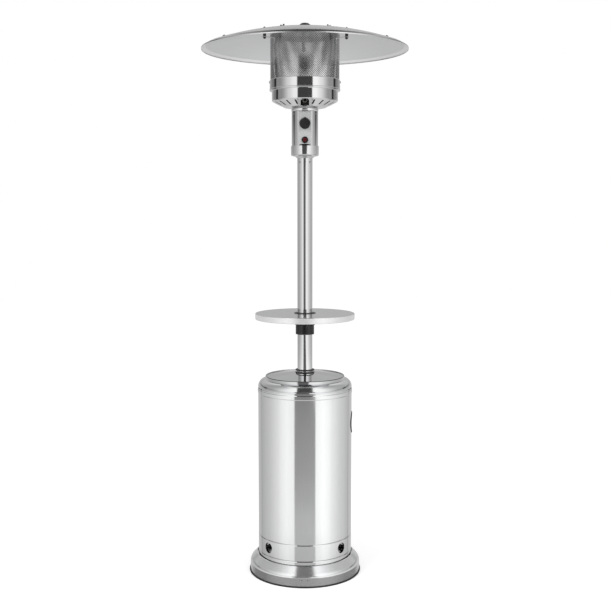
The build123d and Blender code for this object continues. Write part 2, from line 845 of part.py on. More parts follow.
def reflector_studs():
    """Short studs with spacers on the screen's lid."""
    radius = stud_radius_on_dome
    spacer_top = dome_height(radius + 6) - dome_sheet
    base = screen_top + 1.0
    stud = tube(6.0, 2.5, base, spacer_top) + rod(2.5, base, dome_height(radius) + 12)
    return group([on_seam(Pos(0, -radius, 0) * stud, azimuth, radius) for azimuth in seam_azimuths])


def reflector_wing_nuts():
    """Black wing nuts on the studs."""
    radius = stud_radius_on_dome
    low = dome_height(radius - 7) + dome_sheet + 0.1
    place = Plane((0, 0, low), x_dir=(1, 0, 0), z_dir=(0, -1, 0))
    wings = make_face(Polyline((-4, 1), (4, 1), (13, 8), (14, 13), (9, 14.5), (4, 7), (-4, 7), (-9, 14.5),
                               (-14, 13), (-13, 8), close=True))
    nut = rod(7.0, low, low + 3) + rod(5.5, low, low + 7)
    nut += extrude(place * wings, amount=1.6, both=True)
    nut -= rod(2.5, low - 1, low + 20)
    return group([on_seam(Pos(0, -radius, 0) * nut, azimuth, radius) for azimuth in seam_azimuths])


def reflector_arms():
    """Angle strips from the screen out to the stand-offs."""
    wall = screen_radius
    radius = standoff_radius_on_dome
    line = FilletPolyline((wall, arm_height - 22), (wall, arm_height), (radius + 8, arm_height), radius=4)
    arm = extrude(side_plane() * sheet(line, arm_thickness, Side.RIGHT), amount=7, both=True)
    arm -= rod(wall, arm_height - 30, arm_height + 5)
    arm -= Pos(0, -radius, 0) * rod(3.0, arm_height - 5, arm_height + 5)
    return group([on_seam(arm, azimuth, radius) for azimuth in seam_azimuths])


def reflector_standoffs():
    """Spacers between the arms and the dome, each with its stud."""
    radius = standoff_radius_on_dome
    top = dome_height(radius + 6) - dome_sheet
    body = rod(6.0, arm_height, top) + rod(3.0, arm_height - 9, dome_height(radius) + 9)
    return group([on_seam(Pos(0, -radius, 0) * body, azimuth, radius) for azimuth in seam_azimuths])


def reflector_nuts():
    radius = standoff_radius_on_dome
    high = dome_height(radius - 6) + dome_sheet + 0.1
    upper = hexagon(10, high, high + 4.5) - rod(3.0, high - 1, high + 6)
    low = arm_height - arm_thickness
    lower = hexagon(10, low - 5, low) - rod(3.0, low - 6, low + 1)
    parts = [Pos(0, -radius, 0) * upper, Pos(0, -radius, 0) * lower]
    return group([on_seam(part, azimuth, radius) for azimuth in seam_azimuths for part in parts])


def reflector_centre_cap():
    """Black cap over the hole where the three panels meet."""
    foot = dome_apex + 0.1
    cap = spun(outline((0, foot), (26, foot), (26, foot + 9), (22, foot + 19), (14, foot + 25), (0, foot + 26.5)))
    return cap + rod(3.0, dome_apex - 9, foot + 1)


def reflector_centre_washer():
    """Washer and nut that hold the cap from below."""
    top = dome_height(25) - dome_sheet
    washer = tube(25.0, 3.0, top - 1.5, top)
    nut = hexagon(10, top - 6.5, top - 1.5) - rod(3.0, top - 7, top)
    return washer + nut


parts = {
    "base_edge_trim": base_edge_trim,
    "base_cover": base_cover,
    "post_brackets": post_brackets,
    "bracket_bolts": bracket_bolts,
    "pole_foot_flange": pole_foot_flange,
    "flange_bolts": flange_bolts,
    "pole": pole,
    "head_spigot": head_spigot,
    "pole_screws": pole_screws,
    "housing_front": housing_front,
    "housing_door": housing_door,
    "door_grip_ring": door_grip_ring,
    "housing_cap": housing_cap,
    "housing_top_plate": housing_top_plate,
    "pole_ring": pole_ring,
    "door_pivot_brackets": door_pivot_brackets,
    "door_pivot_lugs": door_pivot_lugs,
    "door_pivot_pins": door_pivot_pins,
    "door_magnet": door_magnet,
    "door_strike": door_strike,
    "table_top": table_top,
    "table_ring": table_ring,
    "table_sleeve": table_sleeve,
    "table_clamp_bush": table_clamp_bush,
    "table_lock_collar": table_lock_collar,
    "head_collar": head_collar,
    "control_box_front": control_box_front,
    "control_box_back": control_box_back,
    "control_box_screws": control_box_screws,
    "neck_ring": neck_ring,
    "gas_knob": gas_knob,
    "valve_stem": valve_stem,
    "gas_valve": gas_valve,
    "gas_inlet_fitting": gas_inlet_fitting,
    "burner_supply_tube": burner_supply_tube,
    "igniter_body": igniter_body,
    "igniter_bezel": igniter_bezel,
    "igniter_button": igniter_button,
    "tilt_switch": tilt_switch,
    "burner_mixer": burner_mixer,
    "burner_head": burner_head,
    "pilot_burner": pilot_burner,
    "thermocouple": thermocouple,
    "spark_electrode": spark_electrode,
    "burner_pan": burner_pan,
    "screen_band": screen_band,
    "band_screws": band_screws,
    "emitter_screen": emitter_screen,
    "emitter_top_plate": emitter_top_plate,
    "reflector_arms": reflector_arms,
    "reflector_standoffs": reflector_standoffs,
    "reflector_nuts": reflector_nuts,
    "reflector_studs": reflector_studs,
    "reflector_wing_nuts": reflector_wing_nuts,
    "reflector_seam_bolts": reflector_seam_bolts,
    "reflector_centre_cap": reflector_centre_cap,
    "reflector_centre_washer": reflector_centre_washer,
}

for name, make in parts.items():
    save(name, make())

for name, middle in (("front", 0.0), ("right", 120.0), ("left", 240.0)):
    save(f"reflector_panel_{name}", reflector_panel(middle))
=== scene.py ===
import math

import bpy
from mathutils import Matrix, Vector


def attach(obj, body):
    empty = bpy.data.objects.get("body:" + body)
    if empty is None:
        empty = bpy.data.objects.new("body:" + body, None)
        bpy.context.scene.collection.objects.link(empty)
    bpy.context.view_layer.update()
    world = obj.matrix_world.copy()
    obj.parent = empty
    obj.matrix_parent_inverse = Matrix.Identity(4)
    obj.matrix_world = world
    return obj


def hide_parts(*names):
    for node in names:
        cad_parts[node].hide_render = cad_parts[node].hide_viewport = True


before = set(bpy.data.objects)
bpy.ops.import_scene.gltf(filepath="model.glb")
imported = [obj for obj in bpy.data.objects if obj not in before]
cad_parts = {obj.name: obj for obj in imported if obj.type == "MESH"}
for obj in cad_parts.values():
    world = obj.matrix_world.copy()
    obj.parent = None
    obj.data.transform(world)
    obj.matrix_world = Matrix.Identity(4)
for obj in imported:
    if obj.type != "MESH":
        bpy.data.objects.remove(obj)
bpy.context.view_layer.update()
scene = bpy.context.scene
scene.view_settings.view_transform = "Standard"

# Camera: its place in metres, its tilt in degrees, its lens and film in millimetres
camera_place = (0.0024, -3.982, 1.481)
camera_tilt = 84.476
camera_lens = 58.1
film_width = 36

# Heights in the studio where one stretch goes over to the next, in degrees above the horizon
low_to_eye = (-10.5, -7.5)
eye_to_high = (2.5, 6.0)
high_to_top = (11, 16)
low_to_foot = (-20.8, -22.3)
shade_at_foot = (-18.6, -20.2)
walls_to_floor = (-30, -55)
walls_to_overhead = (60, 72)

# Gap between the two lights in front, in degrees
wide_half_gap = 25.5
narrow_half_gap = 16.0
narrow_gap_shift = 5.0
gap_softness = 1.5
gap_widens = (5.0, 2.5)
gap_ends = (15, 11)

# Backdrop behind the heater, in degrees round the studio
walls_to_backdrop = (128, 160)

# Dark edge above the backdrop's middle: heights in degrees, sides as a share of the way across
dark_edge_starts = (28, 31)
dark_edge_ends = (51, 46)
dark_edge_sides = (0.26, 0.08)
dark_edge_grey = 0.03

# Dark bar over the heater: ends in degrees from the front over the top, softness as a share across
bar_starts = (11, 15)
bar_ends = (150, 145)
bar_softness = 0.015
bar_grey = 0.07

# Brightness of the studio's plain parts
foot_shade = 0.84
floor_grey = 0.80
overhead_grey = 1.12
left_share = 0.93
right_share = 1.08
share_reach = 0.9
even_light = 0.78

# Floor: its brightness, and what is added to it by distance from the heater in metres
floor_size = 24
floor_paint = 0.93
floor_lift = 0.24
lift_starts = (0.215, 0.224)
far_floor = (1.5, 5.0)
far_lift = 1.2

# Lamps, in metres
softbox_size = 2.0
aim_height = 1.2

# Finish of the sheet metal, with places in metres
grain_scale = 900
grain_strength = 0.35
upright = (1, 1, 0.02)
smear_scale = 9
# Radii where the reflector's underside goes over to its painted light at the rim
reflector_rim_painted_light = (0.3915, 0.3925)
panel_face = (-0.0449, -0.0452)
panel_half_width = (0.0272, 0.0268)

# Emitter screen, in metres: it fills the place of the plain tube
screen_radius = 0.137
screen_wall = 0.0008
screen_low = 1.953
screen_high = 2.176
screen_half_columns = 192
screen_rows = 48
hole_radius = 0.0022
screen_inset = 0.0003
screen_waves = 0.00012

# Spun pieces: sizes in millimetres, arcs and turns in degrees
housing_radius = 191.0
housing_top = 766.0
spigot_radius = 189.4
spigot_low = 750.0
spigot_turn = 66.0
cap_step = 1.6
cap_round = 31.0
cap_arc = 80
cap_rim_foot = 799.0
cap_rim_top = 810.0
cap_rim_radius = 160.5
plate_radius = 157.1
plate_gap = 0.4
plate_low = 807.5
plate_high = 822.5
cone_top_radius = 48.0
ring_high = 836.0
ring_radius = 38.5
pole_radius = 30.6
table_radius = 201.5
table_high = 1065.5
table_low = 1041.5
table_hole_radius = 34.5
base_radius = 225.4
lip_radius = 224.8
lip_low = 3.0
lip_high = 38.0
shoulder_round = 24.0
shoulder_arc = 45
crest_radius = 196.5
crest_high = 77.0
deck_radius = 194.0
deck_high = 70.0
slot_low = 29.5
slot_high = 34.5
sheet_wall = 1.2
thin_wall = 1.0
corner_round = 1.0
sharp_angle = 12

# Steps round a spun piece, and those from the front that a slot in the base's lip takes on each side
spin_steps = 256
slot_steps = (1, 2)


# Node building

def clear_nodes(owner):
    owner.use_nodes = True
    owner.node_tree.nodes.clear()
    return owner.node_tree.nodes, owner.node_tree.links


def feed(links, socket, value):
    """Link an output to a socket, or set the socket to a constant."""
    if isinstance(value, bpy.types.NodeSocket):
        links.new(value, socket)
    elif isinstance(socket.default_value, float):
        socket.default_value = value
    else:
        socket.default_value = (value, value, value, 1) if isinstance(value, float) else (*value, 1)


def maths(tree, operation, first, second=0.0):
    nodes, links = tree
    node = nodes.new("ShaderNodeMath")
    node.operation = operation
    feed(links, node.inputs[0], first)
    feed(links, node.inputs[1], second)
    return node.outputs[0]


def carry_over(tree, value, old_low, old_high, new_low=0.0, new_high=1.0, smooth=False):
    """Carry a value from one range over to another, and hold it at the ends."""
    nodes, links = tree
    node = nodes.new("ShaderNodeMapRange")
    node.interpolation_type = "SMOOTHSTEP" if smooth else "LINEAR"
    for socket, amount in zip(node.inputs[1:5], (old_low, old_high, new_low, new_high)):
        socket.default_value = amount
    links.new(value, node.inputs[0])
    return node.outputs[0]


def blend(tree, share, first, second, kind="MIX"):
    nodes, links = tree
    node = nodes.new("ShaderNodeMix")
    node.data_type = "RGBA"
    node.blend_type = kind
    feed(links, node.inputs[0], share)
    feed(links, node.inputs[6], first)
    feed(links, node.inputs[7], second)
    return node.outputs[2]


def grey_ramp(tree, value, low, high, stops):
    """Greys along a value that runs from low to high. A stop is a place on it and a brightness."""
    nodes, links = tree
    ramp = nodes.new("ShaderNodeValToRGB")
    elements = ramp.color_ramp.elements
    elements.remove(elements[1])
    for index, (place, grey) in enumerate(stops):
        share = (place - low) / (high - low)
        element = elements[0] if index == 0 else elements.new(share)
        element.position = share
        element.color = (grey, grey, grey, 1)
    links.new(carry_over(tree, value, low, high), ramp.inputs[0])
    return ramp.outputs[0]


# Camera, backdrop and light

def add_camera():
    camera = bpy.data.objects.new("camera", bpy.data.cameras.new("camera"))
    camera.location = camera_place
    camera.rotation_euler = (math.radians(camera_tilt), 0, 0)
    camera.data.lens = camera_lens
    camera.data.sensor_width = film_width
    scene.collection.objects.link(camera)
    scene.camera = camera


def in_degrees(tree, angle):
    return maths(tree, "MULTIPLY", angle, 180 / math.pi)


def side_walls(tree, side, rise):
    """Two soft lights in front that fade into dim walls: greys by the angle from the front, in degrees."""
    low = grey_ramp(tree, side, 0, 180, (
        (25, 1.22), (45, 1.34), (60, 1.22), (70, 1.05), (80, 0.95), (90, 0.84), (100, 0.76), (112, 0.70),
        (122, 0.62), (135, 0.58), (150, 0.62), (165, 0.62)))
    eye_level = grey_ramp(tree, side, 0, 180, (
        (25, 1.10), (40, 1.05), (50, 0.90), (60, 0.76), (70, 0.69), (80, 0.61), (90, 0.56), (110, 0.50),
        (130, 0.52), (150, 0.58), (165, 0.58)))
    high = grey_ramp(tree, side, 0, 180, (
        (25, 1.22), (40, 1.20), (50, 1.01), (60, 0.89), (70, 0.66), (80, 0.45), (88, 0.36), (106, 0.35),
        (108, 0.03), (118, 0.03), (120, 0.24), (130, 0.26), (150, 0.28), (165, 0.45)))
    top = grey_ramp(tree, side, 0, 180, (
        (30, 1.32), (48, 1.22), (60, 0.98), (75, 0.72), (92, 0.52), (119, 0.46), (150, 0.60)))
    foot = grey_ramp(tree, side, 0, 180, ((25, 0.46), (35, 0.50), (62, 0.44), (96, 0.20), (140, 0.22)))
    walls = blend(tree, carry_over(tree, rise, *low_to_eye, smooth=True), low, eye_level)
    walls = blend(tree, carry_over(tree, rise, *eye_to_high, smooth=True), walls, high)
    walls = blend(tree, carry_over(tree, rise, *high_to_top, smooth=True), walls, top)
    return blend(tree, carry_over(tree, rise, *low_to_foot, smooth=True), walls, foot)


def with_front_gap(tree, walls, turn, rise):
    """The dark gap between the two lights, which is narrower and a little aside at eye level."""
    above_low = carry_over(tree, rise, *low_to_eye)
    below_high = carry_over(tree, rise, *gap_widens)
    narrow = maths(tree, "MULTIPLY", above_low, below_high)
    half_gap = carry_over(tree, narrow, 0, 1, wide_half_gap, narrow_half_gap)
    shift = carry_over(tree, narrow, 0, 1, 0.0, narrow_gap_shift)
    from_middle = maths(tree, "ABSOLUTE", maths(tree, "ADD", turn, shift))
    from_edge = maths(tree, "SUBTRACT", from_middle, half_gap)
    inside = carry_over(tree, from_edge, gap_softness, -gap_softness, smooth=True)
    inside = maths(tree, "MULTIPLY", inside, carry_over(tree, rise, *gap_ends))
    greys = grey_ramp(tree, rise, -90, 90, (
        (-60, 0.60), (-35, 0.45), (-22.3, 0.45), (-21, 0.70), (-19, 0.70), (-17.8, 0.62), (-16.4, 0.51),
        (-14.7, 0.42), (-11, 0.35), (-9, 0.12), (-7.5, 0.11), (-3.5, 0.17), (1.7, 0.15), (4, 0.07),
        (8, 0.06)))
    return blend(tree, inside, walls, greys)


def with_backdrop(tree, walls, side, rise, across):
    """The pale backdrop, with a dark edge above its middle."""
    backdrop = grey_ramp(tree, rise, -90, 90, (
        (-80, 0.95), (-60, 0.80), (-40, 0.62), (-22, 0.62), (-10, 0.62), (3, 0.54), (6, 0.50),
        (12, 0.52), (18, 0.60), (28, 0.62), (45, 0.95)))
    above_start = carry_over(tree, rise, *dark_edge_starts)
    below_end = carry_over(tree, rise, *dark_edge_ends)
    edge = maths(tree, "MULTIPLY", above_start, below_end)
    middle = carry_over(tree, maths(tree, "ABSOLUTE", across), *dark_edge_sides, smooth=True)
    backdrop = blend(tree, maths(tree, "MULTIPLY", edge, middle), backdrop, dark_edge_grey)
    return blend(tree, carry_over(tree, side, *walls_to_backdrop, smooth=True), walls, backdrop)


def with_dark_bar(tree, walls, across, overhead):
    """The dark bar over the heater, which grows narrower towards the back."""
    half_bar = grey_ramp(tree, overhead, 0, 180, (
        (15, 0.33), (50, 0.28), (80, 0.20), (110, 0.11), (150, 0.03)))
    from_edge = maths(tree, "SUBTRACT", maths(tree, "ABSOLUTE", across), half_bar)
    bar = carry_over(tree, from_edge, bar_softness, -bar_softness, smooth=True)
    bar = maths(tree, "MULTIPLY", bar, carry_over(tree, overhead, *bar_starts))
    bar = maths(tree, "MULTIPLY", bar, carry_over(tree, overhead, *bar_ends))
    return blend(tree, bar, walls, bar_grey)


def studio(tree):
    """What metal reflects: two soft lights in front with a gap between them, dim walls at the sides, a
    pale backdrop behind, and a soft light overhead with a dark bar over its middle."""
    nodes, links = tree
    axes = nodes.new("ShaderNodeSeparateXYZ")
    links.new(nodes.new("ShaderNodeTexCoord").outputs["Generated"], axes.inputs[0])
    across, deep, up = axes.outputs
    forward = maths(tree, "MULTIPLY", deep, -1.0)
    turn = in_degrees(tree, maths(tree, "ARCTAN2", across, forward))
    overhead = in_degrees(tree, maths(tree, "ARCTAN2", up, forward))
    rise = in_degrees(tree, maths(tree, "ARCSINE", up))
    side = maths(tree, "ABSOLUTE", turn)

    walls = side_walls(tree, side, rise)
    walls = with_front_gap(tree, walls, turn, rise)
    shade = carry_over(tree, rise, *shade_at_foot, 1.0, foot_shade, smooth=True)
    walls = blend(tree, 1.0, walls, shade, "MULTIPLY")
    walls = with_backdrop(tree, walls, side, rise, across)
    walls = blend(tree, carry_over(tree, rise, *walls_to_floor, smooth=True), walls, floor_grey)
    walls = blend(tree, carry_over(tree, rise, *walls_to_overhead, smooth=True), walls, overhead_grey)
    left_to_right = carry_over(tree, across, -share_reach, share_reach, left_share, right_share)
    walls = blend(tree, 1.0, walls, left_to_right, "MULTIPLY")
    return with_dark_bar(tree, walls, across, overhead)


def studio_world():
    """White for the camera, an even light for plain surfaces, and the studio for reflections."""
    world = bpy.data.worlds.new("studio")
    scene.world = world
    tree = clear_nodes(world)
    nodes, links = tree
    ray = nodes.new("ShaderNodeLightPath")
    light = blend(tree, ray.outputs["Is Glossy Ray"], even_light, studio(tree))
    seen = maths(tree, "MAXIMUM", ray.outputs["Is Camera Ray"], ray.outputs["Is Transmission Ray"])
    background = nodes.new("ShaderNodeBackground")
    links.new(blend(tree, seen, light, 1.0), background.inputs["Color"])
    output = nodes.new("ShaderNodeOutputWorld")
    links.new(background.outputs[0], output.inputs["Surface"])


def add_floor():
    """Plain white floor that keeps the heater's shadow, and is white up to the horizon."""
    bpy.ops.mesh.primitive_plane_add(size=floor_size)
    floor = bpy.context.object
    floor.name = "floor"
    floor.visible_glossy = False
    material = bpy.data.materials.new("floor_white")
    tree = clear_nodes(material)
    nodes, links = tree
    ray = nodes.new("ShaderNodeLightPath")
    paint = nodes.new("ShaderNodeBsdfDiffuse")
    paint.inputs["Color"].default_value = (floor_paint, floor_paint, floor_paint, 1)
    lift = nodes.new("ShaderNodeEmission")
    distance = nodes.new("ShaderNodeVectorMath")
    distance.operation = "LENGTH"
    links.new(nodes.new("ShaderNodeTexCoord").outputs["Object"], distance.inputs[0])
    beside_base = carry_over(tree, distance.outputs["Value"], *lift_starts, 0.0, floor_lift)
    far_off = carry_over(tree, distance.outputs["Value"], *far_floor, 1.0, far_lift)
    brightness = maths(tree, "MULTIPLY", beside_base, far_off)
    links.new(maths(tree, "MULTIPLY", ray.outputs["Is Camera Ray"], brightness), lift.inputs["Strength"])
    both = nodes.new("ShaderNodeAddShader")
    links.new(paint.outputs[0], both.inputs[0])
    links.new(lift.outputs[0], both.inputs[1])
    output = nodes.new("ShaderNodeOutputMaterial")
    links.new(both.outputs[0], output.inputs["Surface"])
    floor.data.materials.append(material)


def add_softbox(name, location, power):
    """A large soft lamp that points at the middle of the heater."""
    lamp = bpy.data.lights.new(name, "AREA")
    lamp.size = softbox_size
    lamp.energy = power
    holder = bpy.data.objects.new(name, lamp)
    holder.location = location
    aim = Vector((0, 0, aim_height)) - holder.location
    holder.rotation_euler = aim.to_track_quat("-Z", "Y").to_euler()
    holder.visible_glossy = False
    scene.collection.objects.link(holder)


# Materials

def new_surface(name):
    """A material with its main shader, and the object's own coordinates."""
    material = bpy.data.materials.new(name)
    tree = clear_nodes(material)
    nodes, links = tree
    shader = nodes.new("ShaderNodeBsdfPrincipled")
    output = nodes.new("ShaderNodeOutputMaterial")
    links.new(shader.outputs[0], output.inputs["Surface"])
    place = nodes.new("ShaderNodeTexCoord").outputs["Object"]
    return material, tree, shader, place


def noise(tree, place, scale, detail=3.0, stretch=(1, 1, 1)):
    nodes, links = tree
    mapping = nodes.new("ShaderNodeMapping")
    mapping.inputs["Scale"].default_value = stretch
    links.new(place, mapping.inputs["Vector"])
    texture = nodes.new("ShaderNodeTexNoise")
    texture.inputs["Scale"].default_value = scale
    texture.inputs["Detail"].default_value = detail
    links.new(mapping.outputs[0], texture.inputs["Vector"])
    return texture.outputs[0]


def spread(tree, noise_value, low, high):
    """Carry a noise over to a range."""
    return carry_over(tree, noise_value, 0.3, 0.7, low, high)


def bump(tree, height, depth, strength, onto=None):
    nodes, links = tree
    node = nodes.new("ShaderNodeBump")
    node.inputs["Strength"].default_value = strength
    node.inputs["Distance"].default_value = depth
    links.new(height, node.inputs["Height"])
    if onto is not None:
        links.new(onto, node.inputs["Normal"])
    return node.outputs[0]


def axis_of(tree, vector, axis):
    nodes, links = tree
    axes = nodes.new("ShaderNodeSeparateXYZ")
    links.new(vector, axes.inputs[0])
    return axes.outputs["XYZ".index(axis)]


def normal_of(tree):
    nodes, _ = tree
    return nodes.new("ShaderNodeTexCoord").outputs["Normal"]


def radius_of(tree, place):
    """Distance from the middle line of the pole."""
    across = maths(tree, "POWER", axis_of(tree, place, "X"), 2.0)
    deep = maths(tree, "POWER", axis_of(tree, place, "Y"), 2.0)
    return maths(tree, "SQRT", maths(tree, "ADD", across, deep))


def ring_place(tree, place):
    """Coordinates of a spun part that change with radius and height only."""
    nodes, links = tree
    ring = nodes.new("ShaderNodeCombineXYZ")
    links.new(radius_of(tree, place), ring.inputs[0])
    links.new(axis_of(tree, place, "Z"), ring.inputs[2])
    return ring.outputs[0]


def rolled_grain(tree, place):
    return noise(tree, place, grain_scale, 2, upright)


def spun_grain(tree, place):
    return noise(tree, ring_place(tree, place), grain_scale, 2)


def tints(tree, share, colour, darkest):
    darker = tuple(darkest * part for part in colour)
    return blend(tree, share, darker, colour)


def grained(tree, lines, colour, darkest=0.95):
    """A metal's colour, slightly darker in the lines of its grain."""
    return tints(tree, spread(tree, lines, 0, 1), colour, darkest)


def steel(name, colour, smooth, rough, grain=rolled_grain, grain_depth=0.00001):
    """Polished steel with a fine grain from rolling or spinning, a slight swell and dull smears."""
    material, tree, shader, place = new_surface(name)
    _, links = tree
    shader.inputs["Metallic"].default_value = 1.0
    lines = grain(tree, place)
    smears = noise(tree, place, smear_scale, 4)
    links.new(grained(tree, lines, colour), shader.inputs["Base Color"])
    links.new(spread(tree, smears, smooth, rough), shader.inputs["Roughness"])
    swell = bump(tree, noise(tree, place, 5, 1), 0.002, 0.25)
    links.new(bump(tree, lines, grain_depth, grain_strength, swell), shader.inputs["Normal"])
    return material


def cap_steel():
    """The housing's cap: spun steel with a painted shade line where the rim turns in beside the top plate,
    standing in for the shadow in the gap.
    """
    material, tree, shader, place = new_surface("cap_steel")
    _, links = tree
    shader.inputs["Metallic"].default_value = 1.0
    height = maths(tree, "MULTIPLY", axis_of(tree, place, "Z"), 1000.0)
    near_top = carry_over(tree, height, cap_rim_top - 1.8, cap_rim_top - 1.0)
    radius = radius_of(tree, place)
    outside = carry_over(tree, radius, (cap_rim_radius - 0.9) / 1000, (cap_rim_radius - 0.7) / 1000)
    # Painted shade: a near-black line on the rim's top beside the top plate, standing in for the shadow in
    # the gap between them.
    painted_gap_shade_line = maths(tree, "MULTIPLY", near_top, outside)
    lines = spun_grain(tree, place)
    metal = grained(tree, lines, (0.72, 0.725, 0.73))
    links.new(blend(tree, painted_gap_shade_line, metal, (0.08, 0.08, 0.08)), shader.inputs["Base Color"])
    links.new(spread(tree, noise(tree, place, smear_scale, 4), 0.08, 0.13), shader.inputs["Roughness"])
    links.new(bump(tree, lines, 0.000006, grain_strength), shader.inputs["Normal"])
    return material


def base_steel():
    """The stamped base: bright drawn sheet, with a lip that looks a little towards the floor and is
    painted darker as painted shade for the shaded floor it reflects.
    """
    material, tree, shader, place = new_surface("base_steel")
    nodes, links = tree
    shader.inputs["Metallic"].default_value = 0.87
    lip = carry_over(tree, axis_of(tree, place, "Z"), lip_high / 1000 + 0.001, lip_high / 1000 - 0.001)
    lines = spun_grain(tree, place)
    metal = grained(tree, lines, (0.78, 0.785, 0.79))
    # Painted shade: the lip is painted a darker grey, standing in for the shaded floor beside the base
    # that it reflects.
    links.new(blend(tree, lip, metal, (0.62, 0.62, 0.62)), shader.inputs["Base Color"])
    links.new(spread(tree, noise(tree, place, smear_scale, 4), 0.13, 0.19), shader.inputs["Roughness"])
    lean = nodes.new("ShaderNodeCombineXYZ")
    links.new(maths(tree, "MULTIPLY", lip, -0.06), lean.inputs[2])
    leaning = nodes.new("ShaderNodeVectorMath")
    links.new(normal_of(tree), leaning.inputs[0])
    links.new(lean.outputs[0], leaning.inputs[1])
    links.new(bump(tree, lines, 0.00001, grain_strength, leaning.outputs[0]), shader.inputs["Normal"])
    return material


def table_steel():
    """The table: a smooth brushed top and a brighter satin skirt."""
    material, tree, shader, place = new_surface("table_steel")
    _, links = tree
    top = table_high / 1000
    skirt = carry_over(tree, axis_of(tree, place, "Z"), top - 0.0012, top - 0.0018)
    lines = spun_grain(tree, place)
    metal = grained(tree, lines, (0.70, 0.705, 0.71), 0.96)
    links.new(blend(tree, skirt, metal, (0.84, 0.84, 0.84)), shader.inputs["Base Color"])
    links.new(carry_over(tree, skirt, 0, 1, 1.0, 0.62), shader.inputs["Metallic"])
    links.new(carry_over(tree, skirt, 0, 1, 0.20, 0.34), shader.inputs["Roughness"])
    links.new(bump(tree, lines, 0.000002, grain_strength), shader.inputs["Normal"])
    return material


def moulded_plastic(name, colour, rough):
    """Moulded plastic with a fine eroded skin."""
    material, tree, shader, place = new_surface(name)
    _, links = tree
    patches = noise(tree, place, 40)
    links.new(grained(tree, patches, colour, 0.7), shader.inputs["Base Color"])
    links.new(spread(tree, patches, rough - 0.06, rough + 0.06), shader.inputs["Roughness"])
    links.new(bump(tree, noise(tree, place, 2400, 2), 0.00008, 0.4), shader.inputs["Normal"])
    return material


def plain_metal(name, colour, rough):
    """Cast, turned or plated metal with a slightly uneven skin."""
    material, tree, shader, place = new_surface(name)
    _, links = tree
    shader.inputs["Metallic"].default_value = 1.0
    patches = noise(tree, place, 30)
    links.new(grained(tree, patches, colour, 0.85), shader.inputs["Base Color"])
    links.new(spread(tree, patches, rough - 0.06, rough + 0.08), shader.inputs["Roughness"])
    links.new(bump(tree, noise(tree, place, 600), 0.00005, 0.3), shader.inputs["Normal"])
    return material


def lined(tree, lines, colour):
    """A colour that is already blended, slightly darker in the lines of the grain."""
    return blend(tree, spread(tree, lines, 0, 1), colour, (0.95, 0.95, 0.95), "MULTIPLY")


def reflector_sheet():
    """Aluminium sheet: smooth above, satin below, and painted lighter below at the rim as painted light.
    """
    material, tree, shader, place = new_surface("reflector_sheet")
    _, links = tree
    shader.inputs["Metallic"].default_value = 1.0
    above = carry_over(tree, axis_of(tree, normal_of(tree), "Z"), -0.05, 0.05)
    lip = carry_over(tree, radius_of(tree, place), *reflector_rim_painted_light)
    # Painted light: the underside is painted lighter at the rim, standing in for the brighter light it
    # catches there.
    below = blend(tree, lip, (0.80, 0.805, 0.81), (0.96, 0.96, 0.96))
    colour = blend(tree, above, below, (0.54, 0.54, 0.54))
    lines = noise(tree, ring_place(tree, place), 500, 3)
    links.new(lined(tree, lines, colour), shader.inputs["Base Color"])
    dents = noise(tree, place, 7, 2)
    links.new(blend(tree, above, spread(tree, dents, 0.34, 0.42), 0.15), shader.inputs["Roughness"])
    swell = bump(tree, dents, 0.002, 0.3)
    links.new(bump(tree, lines, 0.00002, 0.4, swell), shader.inputs["Normal"])
    return material


def control_panel_steel():
    """The control box: mirror-like round cheeks and a satin flat panel."""
    material, tree, shader, place = new_surface("control_box_steel")
    _, links = tree
    flat = carry_over(tree, axis_of(tree, place, "Y"), *panel_face)
    narrow = carry_over(tree, maths(tree, "ABSOLUTE", axis_of(tree, place, "X")), *panel_half_width)
    panel = maths(tree, "MULTIPLY", flat, narrow)
    lines = rolled_grain(tree, place)
    colour = blend(tree, panel, (0.72, 0.72, 0.72), (0.56, 0.565, 0.565))
    links.new(lined(tree, lines, colour), shader.inputs["Base Color"])
    links.new(carry_over(tree, panel, 0, 1, 0.07, 0.46), shader.inputs["Roughness"])
    links.new(carry_over(tree, panel, 0, 1, 1.0, 0.25), shader.inputs["Metallic"])
    links.new(bump(tree, lines, 0.00001, grain_strength), shader.inputs["Normal"])
    return material


def heated_steel():
    """The screen: bright outside with upright streaks from the heat, and sooty inside."""
    material, tree, shader, place = new_surface("screen_steel")
    nodes, links = tree
    shader.inputs["Metallic"].default_value = 1.0
    outward = nodes.new("ShaderNodeVectorMath")
    outward.operation = "DOT_PRODUCT"
    links.new(place, outward.inputs[0])
    links.new(normal_of(tree), outward.inputs[1])
    outside = carry_over(tree, outward.outputs["Value"], 0.0, 0.06)
    streaks = noise(tree, place, 26, 3, (1, 1, 0.10))
    clouds = noise(tree, place, 14, 3)
    share = maths(tree, "MULTIPLY", spread(tree, streaks, 0, 1), spread(tree, clouds, 0.5, 1))
    metal = tints(tree, share, (0.82, 0.82, 0.82), 0.5)
    links.new(blend(tree, outside, (0.035, 0.033, 0.030), metal), shader.inputs["Base Color"])
    links.new(carry_over(tree, outside, 0, 1, 0.75, 0.24), shader.inputs["Roughness"])
    return material


def grommet_plastic():
    """The ring at the foot of the pole: black lips with a bright metal groove between them."""
    material, tree, shader, place = new_surface("grommet_plastic")
    _, links = tree
    ring_middle = (plate_high + ring_high) / 2000
    above_middle = maths(tree, "SUBTRACT", axis_of(tree, place, "Z"), ring_middle)
    from_middle = maths(tree, "ABSOLUTE", above_middle)
    groove = carry_over(tree, from_middle, 0.0029, 0.0026)
    black = grained(tree, noise(tree, place, 40), (0.012, 0.012, 0.013), 0.7)
    links.new(blend(tree, groove, black, (0.72, 0.72, 0.72)), shader.inputs["Base Color"])
    links.new(groove, shader.inputs["Metallic"])
    links.new(carry_over(tree, groove, 0, 1, 0.42, 0.08), shader.inputs["Roughness"])
    links.new(bump(tree, noise(tree, place, 2400, 2), 0.00005, 0.3), shader.inputs["Normal"])
    return material


def dress(material, *names):
    for name in names:
        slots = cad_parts[name].data.materials
        slots.clear()
        slots.append(material)


